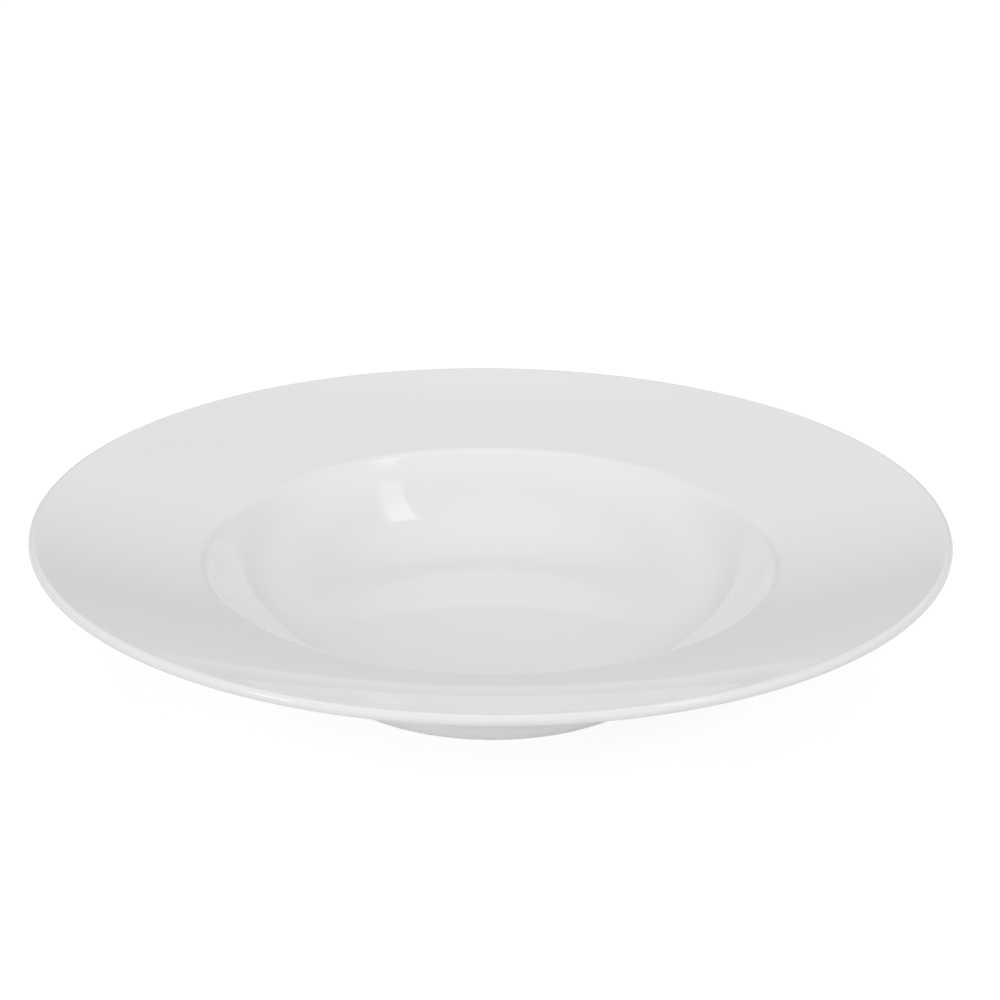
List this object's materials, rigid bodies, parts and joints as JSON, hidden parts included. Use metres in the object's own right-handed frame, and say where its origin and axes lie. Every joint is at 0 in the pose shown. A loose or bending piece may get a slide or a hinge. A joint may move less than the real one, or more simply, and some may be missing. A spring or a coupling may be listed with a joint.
{
  "type": "pasta bowl",
  "caption": "Wide-rimmed pasta bowl: broad hollow flange falling to a steep round well on a low foot ring, white porcelain under clear glaze.",
  "frame": {"origin": "on the table, in the middle of the foot ring's bearing face", "axes": "+Z is the bowl's turning axis, up out of the well; X and Y are free, because the bowl is round"},
  "size_m": [0.3, 0.3, 0.054],
  "materials": {
    "fired_porcelain": "unglazed, wiped bare and ground smooth, matt",
    "clear_glaze": "clear feldspar glaze fired to a smooth gloss, white from the body under it",
    "base_clear_glaze": "the same clear glaze inside the foot ring, gloss"
  },
  "bodies": {
    "root": {"porcelain_body": "fired_porcelain", "glaze_coat": "clear_glaze", "base_glaze": "base_clear_glaze"}
  },
  "joints": []
}
